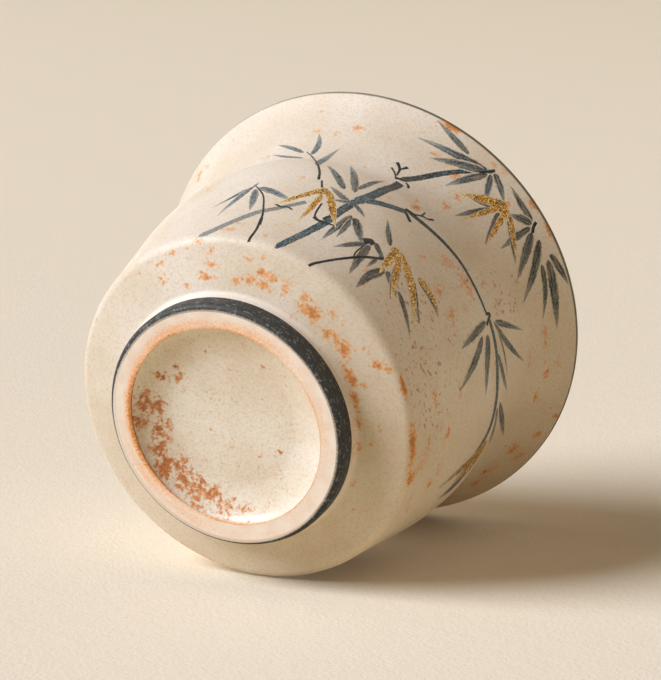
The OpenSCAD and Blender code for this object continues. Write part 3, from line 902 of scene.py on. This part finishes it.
# Twigs and buds, drawn with the tip of the brush
twigs = [
    ([(-35.2, -1), (-35.7, 2.2), (-36.7, 4.7), (-38, 7.4), (-39.9, 9.9), (-42.2, 12.6), (-44.4, 14.2),
      (-47.4, 16)],
     (0.6, 0.3), (0.95, 0.6)),
    ([(-36.2, 4), (-37.3, 6.2)], (0.8, 0.65), (0.95, 0.95)),
    ([(-28.9, 18.8), (-30.7, 20.9)], (0.5, 0.45), (0.75, 0.7)),
    ([(-31.7, 20.9), (-33.6, 23.7), (-36.6, 26.8), (-39.8, 29.8), (-43, 32.5), (-46.4, 34.6)],
     (0.6, 0.25), (0.95, 0.4)),
    ([(-14.4, -0.9), (-10.4, 3.2), (-6.8, 6.5), (-3.4, 9.1), (-0.4, 11)], (0.6, 0.65), (1, 1)),
    ([(-25.2, 14.4), (-24.7, 12), (-23.9, 10.5), (-22.4, 10), (-19.6, 10.3), (-17.2, 10.6)],
     (0.4, 0.45), (1, 0.95)),
    ([(-24.1, 10.4), (-22.6, 10), (-21, 10.1)], (0.9, 0.7), (1, 0.95)),
    ([(-36.9, 10.8), (-34.5, 10.3), (-33, 10.7), (-31, 10.3)], (0.5, 0.4), (0.95, 0.85)),
    ([(-17, 33.6), (-15.6, 34.1), (-14, 34.3)], (0.9, 0.6), (1, 0.95)),
    ([(-13.6, 34), (-12.4, 33.6), (-11.8, 32.9)], (0.5, 0.7), (0.95, 1)),
    ([(-17, 34), (-18.4, 35.1), (-20.2, 36)], (0.35, 0.5), (1, 1)),
    ([(-17.2, 34.5), (-17.8, 36.4), (-19, 37.4), (-20, 37.9)], (0.35, 0.8), (1, 1)),
    ([(-17.8, 36.6), (-16.5, 38)], (0.35, 0.85), (1, 1)),
    ([(-4, 25.6), (-2.2, 26.9), (-0.6, 27.6), (0.4, 29.2)], (0.5, 0.6), (0.95, 0.9)),
    ([(-2.6, 26.5), (-2.7, 28.9)], (0.4, 0.35), (0.95, 0.85)),
    ([(-6.4, 24.4), (-4.8, 23.6), (-3.2, 22.8)], (0.7, 0.85), (0.95, 1)),
    ([(-7, 25), (-5.4, 25.2), (-3.4, 25.4)], (1, 0.8), (1, 0.95)),
    ([(-21.4, 10.8), (-20.4, 12.2), (-19.4, 11.8)], (0.9, 0.6), (0.95, 0.85)),
    ([(-8, 11.2), (-6.8, 12.2), (-5.4, 12)], (1.6, 1.4), (1, 1)),
    ([(-7, 10.6), (-7.3, 8.4), (-6.8, 7), (-5.8, 7.6)], (0.3, 0.35), (0.95, 0.95)),
    ([(-1.6, 10.6), (-0.2, 11.2), (0.8, 10.9)], (0.8, 0.7), (1, 0.95)),
    ([(30.6, 26.4), (31.6, 27.6), (32.2, 26.2), (33.2, 25)], (0.7, 0.6), (0.95, 0.95)),
    ([(1.6, 48.2), (0.8, 47.4), (-1, 46)], (0.7, 0.6), (1, 0.8)),
    ([(18.2, 48.4), (18.8, 47.6), (20, 46.8)], (0.7, 0.7), (1, 0.9)),
]

# Leaves: base, tip, width and, where it shows, bend; each spray shares one darkness at base and tip
sprays = [
    {"depth": (1.05, 0.15), "leaves": [
        ((-6, 47.3), (-18, 49.4), 1.3), ((0.8, 47.2), (-20, 44.8), 1.7), ((0.2, 46.8), (-13.8, 42.2), 1.9),
        ((1.0, 46.8), (-5, 39.3), 1.7), ((1.6, 47.2), (6.4, 42.4), 1.5), ((2, 47.8), (9.8, 45.4), 1.4)]},
    {"depth": (1.15, 0.5), "leaves": [
        ((17.6, 47.8), (7, 48.4), 1.4), ((18, 47.5), (12.6, 45), 1.8), ((18.6, 47), (18.8, 39.6), 1.7),
        ((19.8, 46.8), (28.8, 40), 2.1), ((22.4, 47.4), (35.8, 39.6), 2.0),
        ((28.4, 45.9), (42.5, 43.4), 1.3), ((28, 47.3), (46.6, 46), 2.1), ((27, 48.1), (36.5, 49.7), 1.5)]},
    {"depth": (0.6, 0.15), "leaves": [
        ((-47.4, 34.4), (-59.6, 39.1), 1.25), ((-44, 33.6), (-46.8, 40.8), 1.5, -0.06),
        ((-45, 31.4), (-59, 35.5), 1.2), ((-36.6, 26.4), (-37.6, 37), 1.8, 0.11)]},
    {"depth": (0.8, 0.3), "leaves": [
        ((-23.5, 20.6), (-34.6, 27.8), 1.7), ((-20.5, 21), (-29.9, 31.6), 1.7),
        ((-20.7, 22.4), (-18.1, 30.9), 1.3), ((-19.4, 17.8), (-27.6, 20.1), 1.5),
        ((-19.6, 17.9), (-23.6, 16.5), 1.1), ((-18, 18), (-12.8, 16.3), 1.1)]},
    {"depth": (0.65, 0.15), "leaves": [
        ((-48, 15.9), (-57.2, 9.6), 1.1), ((-48, 16), (-52.4, 6.2), 1.5),
        ((-46.6, 14.9), (-42.7, 7.8), 1.7), ((-46, 15.5), (-32.9, 12.4), 1.8),
        ((-47.9, 15.6), (-47.6, 17.5), 0.7)]},
    {"depth": (1.15, 0.45), "leaves": [
        ((-15.9, 15), (-17.4, 5.9), 1.6), ((-15.2, 14.6), (-14.6, 8.2), 1.2),
        ((-14.8, 14.8), (-7.6, 10.3), 2.0), ((-6.8, 11.4), (-13.2, 5.9), 1.4),
        ((-6, 11.4), (-3.9, 2.9), 1.8), ((-5.4, 12.7), (0, 11), 1.4), ((-1.6, 10), (-2, 6.8), 0.9),
        ((-1.9, 14.4), (-8, 19.3), 1.3)]},
    {"depth": (1.1, 0.6), "leaves": [
        ((2.2, 9.4), (0.5, 1.6), 2.1, -0.1), ((2.8, 9.6), (10.4, 7.2), 1.8), ((9.2, 8.5), (22.2, 4.9), 1.2),
        ((3.6, 12.6), (9.6, 5.8), 1.8), ((8.6, 13), (20.8, 8.3), 1.5), ((10.6, 13.9), (22.2, 13.2), 1.3)]},
    {"depth": (1.05, 0.5), "leaves": [
        ((9.4, 43.4), (3.2, 35.6), 1.5), ((10.6, 43.6), (15.2, 37.1), 1.8), ((13.6, 44.4), (24.8, 41), 1.4),
        ((9, 44), (2, 40.9), 1.4)]},
    {"depth": (0.85, 0.35), "leaves": [
        ((34.6, 29.2), (43, 38.3), 1.4), ((34.2, 28.2), (52.8, 38.3), 1.6), ((36.4, 29.3), (54, 32.6), 0.9),
        ((43, 26.6), (58.6, 33), 2.1), ((35.6, 24.5), (51.6, 20.8), 2.4), ((35, 22.6), (45, 12.7), 2.0),
        ((32.2, 25), (34.1, 15.6), 1.9)]},
    {"depth": (0.85, 0.4), "leaves": [
        ((59.6, 28.8), (78.4, 38.6), 1.9), ((59.6, 26.6), (79.5, 34.4), 2.2),
        ((71.4, 23), (76.9, 11.8), 2.2), ((78, 21.6), (84.2, 15.4), 3.4)]},
]

# Gold leaves hang from three of the sprays and at the far end of the branch
goldSprays = [
    [((-27.2, 19), (-37, 10.6), 1.6), ((-27, 16.6), (-27, 7.6), 1.2), ((-26.6, 18.6), (-16.8, 10.2), 1.5),
     ((-29, 17), (-25.2, 18.4), 1.9)],
    [((11, 45.6), (-0.8, 39.9), 1.8), ((9.8, 44.6), (5.2, 36.1), 1.1), ((11.4, 45), (15.6, 37.2), 1.3),
     ((12.6, 45), (24.4, 41.5), 1.1), ((8.6, 44.2), (12.8, 45.2), 1.8)],
    [((0.2, 15.2), (1.8, 7.9), 1.6), ((1.4, 14.6), (10.1, 5.7), 1.4), ((1.4, 15), (21, 6.9), 1.6),
     ((10, 14.2), (22, 13.7), 1.2), ((-1.2, 14.2), (2.8, 14.3), 1.9)],
    [((69, 25.4), (81, 20.8), 2.6), ((69.4, 25), (79.4, 17), 2.4), ((71, 22.8), (76.4, 12.4), 1.4)],
]


def paintBamboo():
    # A cane starts where the brush comes down on its point
    pointed = lambda t: min(1, brushwork["point"] + brushwork["opening"] * t)
    ink = PaintSheet(seed=11)
    for order, (places, (first, last), depth, *tone) in enumerate(canes):
        widths = lambda t: pointed(t) * (first + (last - first) * t)
        lift = brushwork["caneLift"] + brushwork["next"] * order
        tone = sum(tone) or brushwork["caneTone"]
        ink.lay(places, widths, tone, depth, lift, rows=16 * len(places), columns=8)
    for row, spray in enumerate(sprays):
        for order, (base, tip, width, *bend) in enumerate(spray["leaves"]):
            layer = brushwork["next"] * (row % brushwork["sprayLayers"])
            lift = brushwork["leafLift"] + brushwork["nextLeaf"] * order + layer
            ink.leaf(base, tip, width, lift, spray["depth"], bend=sum(bend))
    for order, (places, (first, last), depth) in enumerate(twigs):
        widths = lambda t: brushwork["twigWidth"] * (first + (last - first) * t)
        depth = [brushwork["twigDepth"] + d for d in depth]
        lift = brushwork["twigLift"] + brushwork["next"] * (order % brushwork["twigLayers"])
        ink.lay(places, widths, brushwork["twigTone"], depth, lift, rows=10 * len(places), columns=4)
    bambooInk = ink.piece("bambooInk", slateInk())
    gold = PaintSheet(seed=23)
    for spray in goldSprays:
        for order, (base, tip, width) in enumerate(spray):
            lift = brushwork["goldLift"] + brushwork["nextLeaf"] * order
            gold.leaf(base, tip, width, lift, full=brushwork["goldFull"], crown=brushwork["goldCrown"],
                      uneven=brushwork["goldUneven"])
    bambooGold = gold.piece("bambooGold", firedGold())
    for paint in (bambooInk, bambooGold):
        paint.visible_shadow = False  # paint is part of the glaze and throws no shadow on it


paintBamboo()
print("bamboo painted")

# The cup lies on a floor that touches its lower edge and its lip, and stands on another; both are one-sided
stage = {
    "near": "#ede6da", "far": "#dad2bf", "glow": "#e7d3aa", "fade": (-100, 1500), "fadeTurn": 1.8,
    "size": 6000, "grain": 0.7, "fibre": 3.5, "bump": 0.15, "roughness": 0.9, "gloss": 0.1, "gap": 0.2,
    "tilts": (2, 30), "halvings": 40,
}


# Tilt at which the lower edge and the lip touch one plane, found by halving, and the plane's distance
def restPlane():
    low, high = [math.radians(end) for end in stage["tilts"]]
    lying = np.concatenate([outer, lipPath])
    upper = lying[:, 1] > cup["waistHeight"]
    for _ in range(stage["halvings"]):
        tilt = (low + high) / 2
        reach = lying[:, 0] * math.cos(tilt) - lying[:, 1] * math.sin(tilt)
        if reach[~upper].max() > reach[upper].max():
            high = tilt
        else:
            low = tilt
    return tilt, reach.max()


# 1 where the camera sees straight, in a reflection or through something clear
def shownRay(add):
    path = add("LightPath", give=None)
    shown = path.outputs["Is Camera Ray"]
    for ray in ("Is Glossy Ray", "Is Transmission Ray"):
        shown = add("Math", {0: shown, 1: path.outputs[ray]}, operation="MAXIMUM")
    return shown


# Pressed paper card: matt cream with a fine leathery grain, darker and greyer with distance as a painted
# falloff of the light; its bounce is ochre, so the shade on the cup is warm
def paperCard(name, onlySeen):
    material, add = newMaterial(name)
    place = add("TexCoord", give="Object")
    # Painted falloff of the light: the card darkens away from the viewer and towards the right
    away = (cameraRight * stage["fadeTurn"] - toViewer).normalized()
    distance = add("VectorMath", {0: place, 1: away}, give="Value", operation="DOT_PRODUCT")
    near, far = stage["fade"]
    fade = add("MapRange", {"Value": distance, "From Min": near * mm, "From Max": far * mm})
    colour = add("Mix", {0: fade, 6: stage["near"], 7: stage["far"]}, **rgba)
    colour = add("Mix", {0: shownRay(add), 6: stage["glow"], 7: colour}, **rgba)
    grain = add("TexNoise", {
        "Vector": place, "Scale": perMm(stage["grain"]), "Detail": 3.0, "Roughness": 0.55})
    fibre = add("TexNoise", {"Vector": place, "Scale": perMm(stage["fibre"]), "Detail": 2.0})
    height = add("Math", {0: fibre, 1: 0.8, 2: grain}, operation="MULTIPLY_ADD")
    normal = add("Bump", {"Height": height, "Strength": 0.7, "Distance": stage["bump"] * mm})
    shader = add("BsdfPrincipled", {
        "Base Color": colour, "Roughness": stage["roughness"], "Normal": normal,
        "Specular IOR Level": stage["gloss"]})
    clear = add("BsdfTransparent")
    hidden = add("NewGeometry", give="Backfacing")
    if onlySeen:
        direct = add("LightPath", give="Is Camera Ray")
        passing = add("Math", {0: 1.0, 1: direct}, operation="SUBTRACT")
        hidden = add("Math", {0: hidden, 1: passing}, operation="MAXIMUM")
    oneSided = add("MixShader", {0: hidden, 1: shader, 2: clear})
    add("OutputMaterial", {"Surface": oneSided}, give=None)
    return material


def stageSheet(name, normal, offset, material):
    normal = Vector(normal).normalized()
    side = normal.orthogonal().normalized()
    length = normal.cross(side)
    half = stage["size"] * mm / 2
    mesh = bpy.data.meshes.new(name)
    corners = ((-1, -1), (1, -1), (1, 1), (-1, 1))
    ends = [side * x * half + length * y * half + normal * offset * mm for x, y in corners]
    mesh.from_pydata(ends, [], [(0, 1, 2, 3)])
    mesh.materials.append(material)
    sheet = addObject(name, mesh)
    sheet.visible_shadow = False


tilt, reach = restPlane()
floorNormal = Vector((0, -math.cos(tilt), math.sin(tilt)))
toViewer = cameraRight.cross(floorNormal)
stageSheet("lyingFloor", floorNormal, -(reach + stage["gap"]), paperCard("creamPaperCardPressed", False))
stageSheet("standingFloor", (0, 0, 1), -stage["gap"], paperCard("creamPaperCardUpright", True))

# Broad soft lamps; each shines from a direction given to the right in the photograph, up off the floor it
# lies on and towards the viewer. The last one comes from under that floor and lights the standing cup
lamps = {
    "key": {"from": (-0.75, 0.55, 0.22), "spread": 34, "power": 3.8, "colour": "#ffffff"},
    "over": {"from": (0.3, 0.9, 0.1), "spread": 80, "power": 0.38, "colour": "#ffd49a"},
    "side": {"from": (0.85, 0.5, 0.1), "spread": 80, "power": 0.42, "colour": "#f9f0e2"},
    "stand": {"from": (-0.2, -0.25, -0.95), "spread": 30, "power": 2.2, "colour": "#fff6ea"},
}
room = {"low": "#ffc98a", "high": "#ffe6c8", "lowLevel": 0.03, "highLevel": 0.15, "seen": "#e3d5c0"}


def makeLamps():
    for name, lamp in lamps.items():
        x, y, z = lamp["from"]
        light = bpy.data.lights.new(name, "SUN")
        light.angle = math.radians(lamp["spread"])
        light.energy = lamp["power"]
        light.color = srgb(lamp["colour"])[:3]
        holder = addObject(name, light)
        source = cameraRight * x + floorNormal * y + toViewer * z
        holder.rotation_euler = source.to_track_quat("Z", "Y").to_euler()


# Warm fill from below and around, brighter and whiter over the mouth of the cup
def makeWorld():
    world = bpy.data.worlds.new("softRoom")
    add = emptyNodes(world)
    way = add("TexCoord", give="Generated")
    climb = add("SeparateXYZ", {"Vector": way}, give="Z")
    over = add("MapRange", {
        "Value": climb, "From Min": 0.1, "From Max": 1.0}, interpolation_type="SMOOTHSTEP")
    low = add("Background", {"Color": room["low"], "Strength": room["lowLevel"]})
    high = add("Background", {"Color": room["high"], "Strength": room["highLevel"]})
    light = add("MixShader", {0: over, 1: low, 2: high})
    seen = add("Background", {"Color": room["seen"], "Strength": 1.0})
    mixed = add("MixShader", {0: shownRay(add), 1: light, 2: seen})
    add("OutputWorld", {"Surface": mixed}, give=None)
    bpy.context.scene.world = world


makeLamps()
makeWorld()
bpy.context.scene.view_settings.view_transform = "Standard"
print("stage lit")
